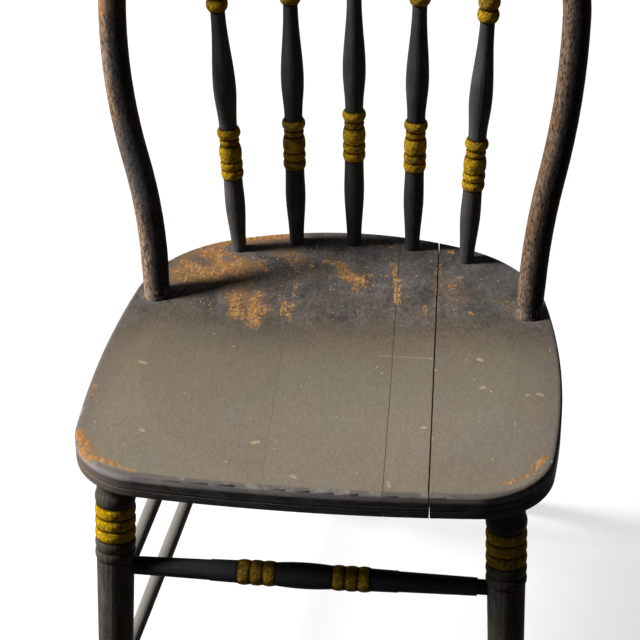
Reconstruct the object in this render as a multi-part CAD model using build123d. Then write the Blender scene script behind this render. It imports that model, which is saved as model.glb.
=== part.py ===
from build123d import *
from math import asin, atan, cos, degrees, radians, sin, sqrt, tan
import os

# Plank-seated side chair with a bent bow back and five turned spindles.
# Millimetres. +Z is up and the chair faces -Y. Until the last step the model
# stands on the floor (z = 0) with the middle of its seat at x = 0, y = 0.

# Seat plank
seat_height = 375.0          # floor to the flat deck of the seat
seat_width = 415.0
seat_depth = 413.0
seat_thickness = 25.5
seat_shift = 0.9             # the plank sits this far to the right of its legs
seat_front_bow = 1675.0      # radius of the shallow front edge
seat_left_bow = 1090.0       # radius of each side
seat_right_bow = 745.0
seat_back_bow = 312.0        # radius of the rounder back edge
seat_widest_y = -71.0        # the plank is widest a little ahead of its middle
front_corner_radius = 65.0
back_corner_radius = 125.0
edge_round = 4.3             # round-over along the top edge
under_round = 2.0
groove_drop = 16.5           # scratched line in the edge, below the deck
groove_width = 1.3
groove_depth = 1.1
dish_depth = 5.0             # hollow for the sitter
dish_radius = 166.0
dish_y = -32.0

# Seat boards: three joints, a few degrees off the chair's axis
seam_angle = 3.1
seam_lean = 2.0              # degrees off square through the thickness
seam_left_x = -45.5
seam_middle_x = 55.0
seam_right_x = 92.5
seam_left_gap = 0.0          # still tight
seam_middle_gap = 0.25
seam_right_gap = 0.8         # opened up with age

# Bent bow; its feet are set in from the seat's side and back edges
bow_side_inset = 32.9
bow_back_inset = 132.9
bow_rake = 16.7              # degrees back from upright
bow_overhang = 1.2           # its widest place stands this far outside the seat's
bow_lean = 6.0               # the old bow stands this far out of square
bow_widest_height = 275.0    # along the bow's own plane
bow_waist_height = 130.0     # where its outward sweep turns inward
bow_rise = 148.0             # from the widest place up to the crown
bow_shoulder_radius = 125.0
bow_radius = 12.6
bow_foot_radius = 11.4
bow_foot_taper = 30.0
bow_tenon_radius = 8.0
bow_tenon_length = 15.0

# Spindle feet, set in from the seat's side and back edges
outer_left_side_inset = 98.0
outer_right_side_inset = 97.1
inner_left_side_inset = 151.8
inner_right_side_inset = 150.8
outer_back_inset = 43.8
inner_back_inset = 25.2
centre_back_inset = 21.8

# Spindle heads, set in from the widest place of the bow
outer_left_head_inset = 77.9
outer_right_head_inset = 78.7
inner_left_head_inset = 150.0
inner_right_head_inset = 145.2
centre_head_shift = 1.5

# Spindle turnings, from the seat upward
outer_lower_vase = 77.6      # seat to the lower rings
inner_left_lower_vase = 82.0
inner_right_lower_vase = 86.0
centre_lower_vase = 92.4
lower_ring_one = 9.4
lower_ring_two = 8.4
lower_ring_three = 15.2
lower_neck = 1.6
collar_ring = 6.3
flare_ring = 10.9
middle_vase = 116.3
upper_ring = 12.3            # each of the lower two
upper_neck = 1.8
upper_ring_three = 14.0
upper_collar = 8.0
spindle_head_run = 2.0       # bare length below the bow
spindle_seat_depth = 14.0
spindle_bow_depth = 9.0

spindle_foot_radius = 6.9
lower_vase_radius = 9.6
lower_vase_end_radius = 9.0
spindle_ring_radius = 10.85
spindle_groove = 1.1         # depth between the lower rings
spindle_neck_radius = 8.3
collar_lip = 0.3
collar_ring_radius = 9.5
flare_ring_radius = 11.2
middle_vase_start_radius = 8.5
middle_vase_radius = 10.65
middle_vase_high_radius = 8.7
upper_neck_radius = 6.8
upper_lip = 1.2
upper_ring_radius = 10.2
upper_collar_radius = 9.4
upper_vase_radius = 9.0
spindle_head_radius = 5.6

lower_vase_share = 0.64      # where each vase is fullest
middle_vase_share = 0.29
middle_vase_high_share = 0.66
upper_vase_share = 0.4

# Front legs; their tops are set in from the seat's side and front edges
front_leg_side_inset = 41.5
front_leg_front_inset = 42.0
front_leg_splay = 0.035      # outward run for each unit of drop
front_leg_rake = 0.149       # forward run for each unit of drop
leg_neck = 18.0
leg_collar = 12.2
leg_yellow_ring = 11.15
leg_yellow_count = 3
leg_black_ring = 10.2
leg_black_count = 2
leg_neck_radius = 16.5
leg_waist_radius = 15.7
leg_waist_share = 0.6
leg_ring_radius = 17.65
leg_groove_radius = 16.45
leg_shaft_radius = 16.4
leg_foot_radius = 13.2

# Rear legs; their tops are set in from the seat's side and back edges
rear_leg_side_inset = 64.5
rear_leg_back_inset = 66.0
rear_leg_splay = 0.034       # outward run for each unit of drop
rear_leg_rake = 0.3705       # backward run for each unit of drop
rear_leg_top_radius = 12.5
rear_leg_swell_radius = 14.8
rear_leg_swell_share = 0.3
rear_leg_foot_radius = 10.5

leg_tenon_radius = 11.0
rear_tenon_radius = 9.5
leg_tenon_length = 14.0

# Front stretcher, turned to match the legs; heights here are below the deck
front_stretcher_left_drop = 117.2
front_stretcher_right_drop = 115.2
front_stretcher_span = 297.0     # between its two shoulders
front_stretcher_shift = -3.9     # it was driven further into the left leg
stretcher_bobbin = 49.3
stretcher_ring = 10.95
stretcher_ring_count = 3
stretcher_drum = 23.8
stretcher_bobbin_radius = 11.5
stretcher_ring_radius = 11.2
stretcher_groove_radius = 10.2
stretcher_drum_radius = 9.9
stretcher_drum_lip = 0.5
stretcher_step_radius = 9.0
stretcher_shoulder_radius = 7.95
stretcher_neck_radius = 6.75

# Plain stretchers
side_stretcher_radius = 6.8
side_stretcher_end_radius = 5.6
upper_side_front_drop = 150.0
upper_side_rear_drop = 146.0
lower_side_front_drop = 240.0
lower_side_rear_drop = 250.0
rear_stretcher_drop = 196.0
stretcher_socket_depth = 9.5

# Fits
tenon_fit = 0.05             # radial clearance of each tenon in its socket
socket_relief = 0.4          # air left past the end of each tenon

deck = seat_height
underside = seat_height - seat_thickness
seat_side = seat_width / 2
seat_back = seat_depth / 2
bow_tilt = radians(bow_rake)
bow_half_width = seat_side + bow_overhang
bow_foot_x = seat_side - bow_side_inset
bow_foot_y = seat_back - bow_back_inset


def turned(edges):
    """Solid turned about Z from a half profile of (radius, height) edges."""
    start = edges[0] @ 0
    end = edges[-1] @ 1
    close = [Line((end.X, end.Y), (0, end.Y)), Line((0, end.Y), (0, start.Y)),
             Line((0, start.Y), (start.X, start.Y))]
    face = make_face(Curve() + edges + close)
    return revolve(Plane.XZ * face, Axis.Z)


def rings(height, sizes, groove):
    """Half-round rings stacked upward: sizes are (ring height, ring radius)."""
    edges = []
    for size, radius in sizes:
        edges.append(ThreePointArc((groove, height), (radius, height + size / 2),
                                   (groove, height + size)))
        height += size
    return edges


def vase(points):
    """Smooth swelling between two necks, upright at both ends."""
    return [Spline(*points, tangents=[(0, 1), (0, 1)])]


def step(edges, radius):
    """Square shoulder from the end of the profile to another radius."""
    end = edges[-1] @ 1
    if abs(end.X - radius) < 1e-6:
        return []
    return [Line((end.X, end.Y), (radius, end.Y))]


def rod(start, end, radius):
    """Plain cylinder between two points."""
    axis = Vector(*end) - Vector(*start)
    shaft = Cylinder(radius, axis.length, align=(Align.CENTER, Align.CENTER, Align.MIN))
    return Plane(origin=start, z_dir=axis) * shaft


def along(start, end, distance):
    """Point on the line from start to end, at a distance from start."""
    start = Vector(*start)
    return start + (Vector(*end) - start).normalized() * distance


# ---------------------------------------------------------------- seat

def seat_outline(inset=0.0):
    """Four shallow arcs with rounded corners, drawn in from the edge by an inset."""
    middle = seat_shift
    front = Pos(middle, seat_front_bow - seat_back) * Circle(seat_front_bow - inset)
    back = Pos(middle, seat_back - seat_back_bow) * Circle(seat_back_bow - inset)
    left = Pos(middle + seat_left_bow - seat_side, seat_widest_y) * Circle(seat_left_bow - inset)
    right = Pos(middle - seat_right_bow + seat_side, seat_widest_y) * Circle(seat_right_bow - inset)
    outline = front & back & left & right
    corners = outline.vertices().sort_by(Axis.Y)
    outline = fillet(corners[-2:], back_corner_radius - inset)
    corners = outline.vertices().sort_by(Axis.Y)
    return fillet(corners[:2], front_corner_radius - inset)


def seat_plank():
    """Whole plank before its boards part: rounded, scratched and dished."""
    outline = seat_outline()
    plank = Pos(0, 0, underside) * extrude(outline, seat_thickness)
    plank = fillet(plank.edges().group_by(Axis.Z)[-1], edge_round)
    plank = fillet(plank.edges().group_by(Axis.Z)[0], under_round)
    scratch = extrude(outline - seat_outline(groove_depth), groove_width)
    plank -= Pos(0, 0, deck - groove_drop - groove_width) * scratch
    ball = (dish_radius ** 2 + dish_depth ** 2) / (2 * dish_depth)
    return plank - Pos(0, dish_y, deck - dish_depth + ball) * Sphere(ball)


def board(plank, left, right):
    """Part of the plank between two joints, given as (x, gap) or None."""
    reach = seat_width + seat_depth
    run = reach * tan(radians(seam_angle))
    x0 = left[0] + left[1] / 2 if left else -reach
    x1 = right[0] - right[1] / 2 if right else reach
    lane = make_face(Polyline((x0 - run, reach), (x1 - run, reach), (x1 + run, -reach),
                              (x0 + run, -reach), close=True))
    lane = Rot(0, -seam_lean, 0) * extrude(lane, reach, both=True)
    return plank & (Pos(0, 0, deck) * lane)


# ---------------------------------------------------------------- bow

bow_plane = Plane(origin=(0, bow_foot_y, deck), x_dir=(1, 0, 0),
                  z_dir=(0, -cos(bow_tilt), sin(bow_tilt)))
bow_crown_radius = (((bow_half_width - bow_shoulder_radius) ** 2 + bow_rise ** 2
                     - bow_shoulder_radius ** 2) / (2 * (bow_rise - bow_shoulder_radius)))
bow_crown_turn = degrees(asin((bow_half_width - bow_shoulder_radius)
                              / (bow_crown_radius - bow_shoulder_radius)))


def bow_limb(side):
    """Sweep angle and the two radii of one side's S curve."""
    swell = bow_half_width - side * bow_lean - bow_foot_x
    sweep_angle = 2 * atan(swell / bow_widest_height)
    lower = bow_waist_height / sin(sweep_angle)
    upper = (bow_widest_height - bow_waist_height) / sin(sweep_angle)
    return sweep_angle, lower, upper


def bow_foot_line(side):
    """Foot point on the deck and the direction up the bow's straight foot."""
    lower = bow_limb(side)[1]
    turn = asin(bow_foot_taper / lower)
    top_x = bow_foot_x + lower * (1 - cos(turn))
    top = bow_plane.from_local_coords((side * top_x, bow_foot_taper))
    foot_x = top_x - bow_foot_taper * tan(turn)
    foot = bow_plane.from_local_coords((side * foot_x, 0))
    return foot, top


def bow_limb_arcs(side):
    """One side's tangent arcs: lower sweep, upper sweep and shoulder."""
    sweep_angle, lower, upper = bow_limb(side)
    swell_turn = degrees(sweep_angle)
    foot_turn = degrees(asin(bow_foot_taper / lower))
    widest = side * bow_half_width - bow_lean
    outward = 90 - side * 90
    inward = 90 + side * 90
    return [
        CenterArc((side * (bow_foot_x + lower), 0), lower,
                  inward - side * foot_turn, -side * (swell_turn - foot_turn)),
        CenterArc((widest - side * upper, bow_widest_height), upper,
                  outward - side * swell_turn, side * swell_turn),
        CenterArc((widest - side * bow_shoulder_radius, bow_widest_height),
                  bow_shoulder_radius, outward, side * (90 - bow_crown_turn)),
    ]


def bow_path():
    """Wire from the left foot over the crown to the right foot."""
    crown_y = bow_widest_height + bow_rise - bow_crown_radius
    crown = CenterArc((-bow_lean, crown_y), bow_crown_radius,
                      90 - bow_crown_turn, 2 * bow_crown_turn)
    return Wire(bow_limb_arcs(-1) + [crown] + bow_limb_arcs(1)[::-1])


def bow_height(x):
    """Height of the bow's centre line above an x, along its own plane."""
    reach = abs(x + bow_lean)
    if reach < bow_crown_radius * sin(radians(bow_crown_turn)):
        drop = bow_crown_radius - sqrt(bow_crown_radius ** 2 - reach ** 2)
        return bow_widest_height + bow_rise - drop
    past = reach - (bow_half_width - bow_shoulder_radius)
    return bow_widest_height + sqrt(bow_shoulder_radius ** 2 - past ** 2)


def make_bow():
    """Steam-bent rod with tapered feet and a tenon below each."""
    path = bow_plane * bow_path()
    section = Plane(origin=path @ 0, z_dir=path % 0) * Circle(bow_radius)
    bow = sweep(section, path=path)
    room = seat_width + seat_depth
    above = Pos(0, 0, deck) * Box(2 * room, 2 * room, 2 * room,
                                  align=(Align.CENTER, Align.CENTER, Align.MIN))
    sunk = bow_radius
    for side in (-1, 1):
        foot, top = bow_foot_line(side)
        start = along(foot, top, -sunk)
        length = (top - start).length
        cone = Cone(bow_foot_radius, bow_radius, length,
                    align=(Align.CENTER, Align.CENTER, Align.MIN))
        bow += (Plane(origin=start, z_dir=top - foot) * cone) & above
        bow += rod(along(foot, top, -bow_tenon_length), along(foot, top, bow_radius / 2),
                   bow_tenon_radius)
    return bow


def bow_sockets():
    """Holes in the seat for the bow's tenons."""
    holes = []
    for side in (-1, 1):
        foot, top = bow_foot_line(side)
        holes.append(rod(along(foot, top, -bow_tenon_length - socket_relief),
                         along(foot, top, bow_radius), bow_tenon_radius + tenon_fit))
    return holes


# ---------------------------------------------------------------- spindles

def spindle_line(foot, head_x):
    """Foot point on the deck and head point on the bow's centre line."""
    head = bow_plane.from_local_coords((head_x, bow_height(head_x)))
    return Vector(foot[0], foot[1], deck), head


def lower_turnings(low):
    """Three rings, a bare neck, a collar and a flared ring; returns their top too."""
    groove = spindle_ring_radius - spindle_groove
    sizes = [(size, spindle_ring_radius)
             for size in (lower_ring_one, lower_ring_two, lower_ring_three)]
    edges = rings(low, sizes, groove)
    neck = low + lower_ring_one + lower_ring_two + lower_ring_three
    edges += step(edges, spindle_neck_radius)
    edges.append(Line((spindle_neck_radius, neck), (spindle_neck_radius, neck + lower_neck)))
    lip = spindle_neck_radius + collar_lip
    edges += step(edges, lip)
    edges += rings(neck + lower_neck, ((collar_ring, collar_ring_radius),
                                       (flare_ring, flare_ring_radius)), lip)
    return edges, neck + lower_neck + collar_ring + flare_ring


def upper_turnings(top):
    """Two rings, a bare neck, a third ring and a collar; returns their top too."""
    lip = upper_neck_radius + upper_lip
    edges = rings(top, ((upper_ring, upper_ring_radius), (upper_ring, upper_ring_radius)), lip)
    neck = top + 2 * upper_ring
    edges.append(Line((lip, neck), (lip, neck + upper_neck)))
    edges += rings(neck + upper_neck, ((upper_ring_three, upper_ring_radius),
                                       (upper_collar, upper_collar_radius)), lip)
    return edges, neck + upper_neck + upper_ring_three + upper_collar


def spindle_profile(lower_vase, reach):
    """Half profile from the tenon in the seat to the one in the bow."""
    low = lower_vase
    edges = [Line((spindle_foot_radius, -spindle_seat_depth), (spindle_foot_radius, 0))]
    edges += vase([(spindle_foot_radius, 0), (lower_vase_radius, low * lower_vase_share),
                   (lower_vase_end_radius, low)])
    edges += step(edges, spindle_ring_radius - spindle_groove)
    turnings, mid = lower_turnings(low)
    edges += turnings
    top = mid + middle_vase
    edges += step(edges, middle_vase_start_radius)
    edges += vase([(middle_vase_start_radius, mid),
                   (middle_vase_radius, mid + middle_vase * middle_vase_share),
                   (middle_vase_high_radius, mid + middle_vase * middle_vase_high_share),
                   (upper_neck_radius, top)])
    edges += step(edges, upper_neck_radius + upper_lip)
    turnings, high = upper_turnings(top)
    edges += turnings
    end = reach - bow_radius - spindle_head_run
    edges += step(edges, upper_neck_radius)
    edges += vase([(upper_neck_radius, high),
                   (upper_vase_radius, high + (end - high) * upper_vase_share),
                   (spindle_head_radius, end)])
    edges.append(Line((spindle_head_radius, end),
                      (spindle_head_radius, reach - bow_radius + spindle_bow_depth)))
    return edges


def make_spindle(foot, head_x, lower_vase):
    start, end = spindle_line(foot, head_x)
    reach = (end - start).length
    spindle = turned(spindle_profile(lower_vase, reach))
    return Plane(origin=start, z_dir=end - start) * spindle


def spindle_holes(foot, head_x):
    """The hole in the seat and the one in the bow."""
    start, end = spindle_line(foot, head_x)
    reach = (end - start).length
    deep = reach - bow_radius + spindle_bow_depth + socket_relief
    below = rod(along(start, end, -spindle_seat_depth - socket_relief),
                along(start, end, spindle_foot_radius), spindle_foot_radius + tenon_fit)
    above = rod(along(start, end, reach - 2 * bow_radius), along(start, end, deep),
                spindle_head_radius + tenon_fit)
    return below, above


# ---------------------------------------------------------------- legs

def front_leg_at(side, drop):
    """Point on a front leg's axis, a drop below the deck."""
    fall = drop - seat_thickness
    return Vector(side * (seat_side - front_leg_side_inset + front_leg_splay * fall),
                  front_leg_front_inset - seat_back - front_leg_rake * fall, deck - drop)


def rear_leg_at(side, drop):
    """Point on a rear leg's axis, a drop below the deck."""
    fall = drop - seat_thickness
    return Vector(side * (seat_side - rear_leg_side_inset + rear_leg_splay * fall),
                  seat_back - rear_leg_back_inset + rear_leg_rake * fall, deck - drop)


def front_leg_turnings():
    """Length of the turned rings at the head of a front leg."""
    return (leg_neck + leg_collar + leg_yellow_count * leg_yellow_ring
            + leg_black_count * leg_black_ring)


def front_leg_profile(length):
    """Half profile, measured down the leg from the underside of the seat."""
    spare = leg_neck_radius
    edges = [Line((leg_neck_radius, -spare), (leg_neck_radius, 0))]
    edges.append(ThreePointArc((leg_neck_radius, 0), (leg_waist_radius, leg_neck * leg_waist_share),
                               (leg_groove_radius, leg_neck)))
    sizes = [(leg_collar, leg_ring_radius)]
    sizes += [(leg_yellow_ring, leg_ring_radius)] * leg_yellow_count
    sizes += [(leg_black_ring, leg_ring_radius)] * leg_black_count
    edges += rings(leg_neck, sizes, leg_groove_radius)
    head = front_leg_turnings()
    edges += step(edges, leg_shaft_radius)
    edges.append(Line((leg_shaft_radius, head), (leg_foot_radius, length)))
    edges.append(Line((leg_foot_radius, length), (leg_foot_radius, length + spare)))
    return edges


def rear_leg_profile(length):
    """Plain leg: a slow swelling, then a taper to the foot."""
    spare = rear_leg_swell_radius
    edges = [Line((rear_leg_top_radius, -spare), (rear_leg_top_radius, 0))]
    edges += vase([(rear_leg_top_radius, 0),
                   (rear_leg_swell_radius, length * rear_leg_swell_share),
                   (rear_leg_foot_radius, length)])
    edges.append(Line((rear_leg_foot_radius, length), (rear_leg_foot_radius, length + spare)))
    return edges


def make_leg(top, foot, profile, tenon_radius):
    """Leg cut level at the floor and at the seat, with its tenon above."""
    length = (foot - top).length
    leg = Plane(origin=top, z_dir=foot - top) * turned(profile(length))
    room = 2 * (seat_width + seat_depth)
    leg = leg & Box(room, room, underside, align=(Align.CENTER, Align.CENTER, Align.MIN))
    return leg + rod(along(top, foot, -leg_tenon_length),
                     along(top, foot, tenon_radius), tenon_radius)


def leg_socket(top, foot, tenon_radius):
    """Blind hole in the seat's underside."""
    return rod(along(top, foot, -leg_tenon_length - socket_relief),
               along(top, foot, tenon_radius), tenon_radius + tenon_fit)


# ---------------------------------------------------------------- stretchers

def front_stretcher_profile(left_end, right_end):
    """Half profile from the left tenon to the right; zero is its middle."""
    half = front_stretcher_span / 2
    bobbin = stretcher_bobbin / 2
    bank = bobbin + stretcher_ring * stretcher_ring_count
    drum = bank + stretcher_drum
    sizes = [(stretcher_ring, stretcher_ring_radius)] * stretcher_ring_count
    edges = [Line((stretcher_neck_radius, left_end), (stretcher_neck_radius, -half))]
    edges += step(edges, stretcher_shoulder_radius)
    edges.append(Line((stretcher_shoulder_radius, -half), (stretcher_step_radius, -drum)))
    edges += step(edges, stretcher_step_radius + stretcher_drum_lip)
    edges.append(Line((stretcher_step_radius + stretcher_drum_lip, -drum),
                      (stretcher_drum_radius, -bank)))
    edges += step(edges, stretcher_groove_radius)
    edges += rings(-bank, sizes, stretcher_groove_radius)
    edges.append(ThreePointArc((stretcher_groove_radius, -bobbin), (stretcher_bobbin_radius, 0),
                               (stretcher_groove_radius, bobbin)))
    edges += rings(bobbin, sizes, stretcher_groove_radius)
    edges += step(edges, stretcher_drum_radius)
    edges.append(Line((stretcher_drum_radius, bank),
                      (stretcher_step_radius + stretcher_drum_lip, drum)))
    edges += step(edges, stretcher_step_radius)
    edges.append(Line((stretcher_step_radius, drum), (stretcher_shoulder_radius, half)))
    edges += step(edges, stretcher_neck_radius)
    edges.append(Line((stretcher_neck_radius, half), (stretcher_neck_radius, right_end)))
    return edges


def front_stretcher_place():
    """Middle point and direction of the front stretcher, and its two tips' distances."""
    left = front_leg_at(-1, front_stretcher_left_drop)
    right = front_leg_at(1, front_stretcher_right_drop)
    run = right - left
    middle = left + run / 2 + run.normalized() * front_stretcher_shift
    half = run.length / 2 + stretcher_socket_depth
    left_end = front_leg_radius(front_stretcher_left_drop) - half - front_stretcher_shift
    right_end = half - front_leg_radius(front_stretcher_right_drop) - front_stretcher_shift
    return middle, run.normalized(), left_end, right_end


def make_front_stretcher():
    middle, direction, left_end, right_end = front_stretcher_place()
    piece = turned(front_stretcher_profile(left_end, right_end))
    return Plane(origin=middle, z_dir=direction) * piece


def plain_stretcher(start, end):
    """Round bar, a little fuller in the middle."""
    length = (end - start).length
    bare = length - stretcher_socket_depth
    tip = side_stretcher_end_radius
    edges = [Line((tip, 0), (tip, stretcher_socket_depth)),
             ThreePointArc((tip, stretcher_socket_depth), (side_stretcher_radius, length / 2),
                           (tip, bare)),
             Line((tip, bare), (tip, length))]
    return Plane(origin=start, z_dir=end - start) * turned(edges)


def stretcher_tips(near, far, near_radius, far_radius):
    """Tips of a stretcher whose line runs between two leg axes."""
    start = along(near, far, near_radius - stretcher_socket_depth)
    end = along(far, near, far_radius - stretcher_socket_depth)
    return start, end


def stretcher_hole(tip, other, radius):
    """Blind hole in a leg for one end of a stretcher."""
    return rod(along(tip, other, -socket_relief),
               along(tip, other, 3 * stretcher_socket_depth), radius + tenon_fit)


# ---------------------------------------------------------------- assembly

def spindle_places():
    """Foot, head and lower vase of each spindle, from left to right."""
    outer_y = seat_back - outer_back_inset
    inner_y = seat_back - inner_back_inset
    return {
        "spindle_outer_left": ((outer_left_side_inset - seat_side, outer_y),
                               outer_left_head_inset - bow_half_width, outer_lower_vase),
        "spindle_inner_left": ((inner_left_side_inset - seat_side, inner_y),
                               inner_left_head_inset - bow_half_width, inner_left_lower_vase),
        "spindle_centre": ((0, seat_back - centre_back_inset),
                           centre_head_shift, centre_lower_vase),
        "spindle_inner_right": ((seat_side - inner_right_side_inset, inner_y),
                                bow_half_width - inner_right_head_inset, inner_right_lower_vase),
        "spindle_outer_right": ((seat_side - outer_right_side_inset, outer_y),
                                bow_half_width - outer_right_head_inset, outer_lower_vase),
    }


def front_leg_radius(drop):
    """Radius of a front leg's shaft, a drop below the deck."""
    head = seat_thickness + front_leg_turnings()
    share = (drop - head) / (seat_height - head)
    return leg_shaft_radius + (leg_foot_radius - leg_shaft_radius) * share


def rear_leg_radius(drop):
    """Radius of a rear leg, near enough for the depth of its sockets."""
    share = (drop - seat_thickness) / underside
    if share < rear_leg_swell_share:
        return rear_leg_swell_radius
    past = (share - rear_leg_swell_share) / (1 - rear_leg_swell_share)
    return rear_leg_swell_radius + (rear_leg_foot_radius - rear_leg_swell_radius) * past


def build_legs_and_stretchers():
    parts = {}
    for side, name in ((-1, "left"), (1, "right")):
        front_top = front_leg_at(side, seat_thickness)
        front_foot = front_leg_at(side, seat_height)
        rear_top = rear_leg_at(side, seat_thickness)
        rear_foot = rear_leg_at(side, seat_height)
        front = make_leg(front_top, front_foot, front_leg_profile, leg_tenon_radius)
        rear = make_leg(rear_top, rear_foot, rear_leg_profile, rear_tenon_radius)
        for level, ahead, behind in (
                ("upper", upper_side_front_drop, upper_side_rear_drop),
                ("lower", lower_side_front_drop, lower_side_rear_drop)):
            start, end = stretcher_tips(front_leg_at(side, ahead), rear_leg_at(side, behind),
                                        front_leg_radius(ahead), rear_leg_radius(behind))
            parts[f"side_stretcher_{level}_{name}"] = plain_stretcher(start, end)
            front -= stretcher_hole(start, end, side_stretcher_end_radius)
            rear -= stretcher_hole(end, start, side_stretcher_end_radius)
        parts[f"front_leg_{name}"] = front
        parts[f"rear_leg_{name}"] = rear
    cross = [rear_leg_at(side, rear_stretcher_drop) for side in (-1, 1)]
    girth = rear_leg_radius(rear_stretcher_drop)
    start, end = stretcher_tips(cross[0], cross[1], girth, girth)
    parts["rear_stretcher"] = plain_stretcher(start, end)
    parts["rear_leg_left"] -= stretcher_hole(start, end, side_stretcher_end_radius)
    parts["rear_leg_right"] -= stretcher_hole(end, start, side_stretcher_end_radius)
    parts["front_stretcher"] = make_front_stretcher()
    middle, direction, left_end, right_end = front_stretcher_place()
    left_tip = middle + direction * left_end
    right_tip = middle + direction * right_end
    parts["front_leg_left"] -= stretcher_hole(left_tip, right_tip, stretcher_neck_radius)
    parts["front_leg_right"] -= stretcher_hole(right_tip, left_tip, stretcher_neck_radius)
    return parts


def build_back():
    """Bow and spindles, with the holes that they need in the seat."""
    bow = make_bow()
    seat_holes = bow_sockets()
    parts = {}
    for name, (foot, head_x, lower_vase) in spindle_places().items():
        below, above = spindle_holes(foot, head_x)
        parts[name] = make_spindle(foot, head_x, lower_vase)
        seat_holes.append(below)
        bow -= above
    parts["back_bow"] = bow
    return parts, seat_holes


def build_seat(holes):
    plank = seat_plank()
    for side in (-1, 1):
        holes.append(leg_socket(front_leg_at(side, seat_thickness),
                                front_leg_at(side, seat_height), leg_tenon_radius))
        holes.append(leg_socket(rear_leg_at(side, seat_thickness),
                                rear_leg_at(side, seat_height), rear_tenon_radius))
    for hole in holes:
        plank -= hole
    left = (seam_left_x, seam_left_gap)
    middle = (seam_middle_x, seam_middle_gap)
    right = (seam_right_x, seam_right_gap)
    return {
        "seat_board_left": board(plank, None, left),
        "seat_board_centre": board(plank, left, middle),
        "seat_board_narrow": board(plank, middle, right),
        "seat_board_right": board(plank, right, None),
    }


def centred(parts):
    """Move the chair so that its origin is under the middle of its box."""
    boxes = [part.bounding_box() for part in parts.values()]
    middle_x = (min(box.min.X for box in boxes) + max(box.max.X for box in boxes)) / 2
    middle_y = (min(box.min.Y for box in boxes) + max(box.max.Y for box in boxes)) / 2
    return {name: Pos(-middle_x, -middle_y, 0) * part for name, part in parts.items()}


def build():
    parts, seat_holes = build_back()
    parts.update(build_seat(seat_holes))
    parts.update(build_legs_and_stretchers())
    return centred(parts)


os.makedirs("parts", exist_ok=True)
for name, part in build().items():
    part.label = name
    export_step(part, f"parts/{name}.step")
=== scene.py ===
import math

import bpy
from mathutils import Matrix, Vector

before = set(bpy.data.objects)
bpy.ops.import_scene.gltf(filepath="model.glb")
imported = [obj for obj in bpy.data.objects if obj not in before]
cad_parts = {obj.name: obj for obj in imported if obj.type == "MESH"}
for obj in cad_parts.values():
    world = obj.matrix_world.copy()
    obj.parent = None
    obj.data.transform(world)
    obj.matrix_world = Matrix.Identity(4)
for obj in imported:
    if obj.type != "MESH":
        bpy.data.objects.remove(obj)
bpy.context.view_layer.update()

# Painted side chair: plank seat of four boards, bent bow back, five turned
# spindles, turned front legs and stretcher, plain rear legs and stretchers.
# Metres. Every place below is measured from MIDDLE, the middle of the deck.
DECK_HEIGHT = 0.375
MIDDLE = Vector((0.006, -0.025633, DECK_HEIGHT))


# ---- wiring

def srgb(red, green, blue):
    """Colour written as 0 to 255 values, turned into the shader's own scale."""
    def level(value):
        value /= 255
        return value / 12.92 if value <= 0.04045 else ((value + 0.055) / 1.055) ** 2.4
    return (level(red), level(green), level(blue), 1.0)


def put(tree, socket, value):
    """Link an output to the socket, or set it to a value; None leaves it as it is."""
    if isinstance(value, bpy.types.NodeSocket):
        tree.links.new(value, socket)
    elif value is not None:
        socket.default_value = value


def add(tree, kind, wires=None, **settings):
    """New node with its settings and what goes into its inputs."""
    node = tree.nodes.new(kind)
    for key, value in settings.items():
        setattr(node, key, value)
    for key, value in (wires or {}).items():
        put(tree, node.inputs[key], value)
    return node


def blank_tree(owner):
    """The empty node tree of a material or world."""
    owner.use_nodes = True
    owner.node_tree.nodes.clear()
    return owner.node_tree


def calc(tree, operation, a, b=None, c=None, clamp=False):
    return add(tree, "ShaderNodeMath", {0: a, 1: b, 2: c},
               operation=operation, use_clamp=clamp).outputs[0]


def times(tree, a, b):
    return calc(tree, "MULTIPLY", a, b)


def minus(tree, a, b, clamp=False):
    return calc(tree, "SUBTRACT", a, b, clamp=clamp)


def larger(tree, a, b):
    return calc(tree, "MAXIMUM", a, b)


def vector_calc(tree, operation, a, b=None, output=0):
    return add(tree, "ShaderNodeVectorMath", {0: a, 1: b},
               operation=operation).outputs[output]


def stretch(tree, place, scale):
    """A vector times another, each part by its own."""
    return vector_calc(tree, "MULTIPLY", place, scale)


def scaled(tree, vector, factor):
    return add(tree, "ShaderNodeVectorMath", {0: vector, "Scale": factor},
               operation="SCALE").outputs[0]


def parts(tree, vector):
    """The x, y and z of a vector."""
    return add(tree, "ShaderNodeSeparateXYZ", {0: vector}).outputs


def joined(tree, x=None, y=None, z=None):
    """Vector of three values; one that is left out is 0."""
    return add(tree, "ShaderNodeCombineXYZ", {0: x, 1: y, 2: z}).outputs[0]


def surface_normal(tree):
    return add(tree, "ShaderNodeNewGeometry").outputs["Normal"]


def ease(tree, value, low, high):
    """0 below low, 1 above high, smooth between; low above high turns it round."""
    return add(tree, "ShaderNodeMapRange", {0: value, 1: low, 2: high},
               interpolation_type="SMOOTHSTEP").outputs[0]


def fade(tree, value, low, high):
    """1 below low, 0 above high, smooth between."""
    return minus(tree, 1.0, ease(tree, value, low, high))


def spread(tree, value, to_low, to_high):
    """A 0 to 1 value spread over another range."""
    return add(tree, "ShaderNodeMapRange", {0: value, 3: to_low, 4: to_high}).outputs[0]


def mix(tree, factor, a, b, blend="MIX"):
    """Colour a turning into colour b."""
    return add(tree, "ShaderNodeMix", {0: factor, 6: a, 7: b},
               data_type="RGBA", blend_type=blend).outputs[2]


def mix_values(tree, factor, a, b):
    """Value a turning into value b."""
    return add(tree, "ShaderNodeMix", {0: factor, 2: a, 3: b}).outputs[0]


def part_mix(tree, mask, share, a, b):
    """Colour b laid over a at a share of its full strength."""
    return mix(tree, times(tree, mask, share), a, b)


def tint(tree, colour, by):
    """A colour times another, or times a value."""
    return mix(tree, 1.0, colour, by, "MULTIPLY")


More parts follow.
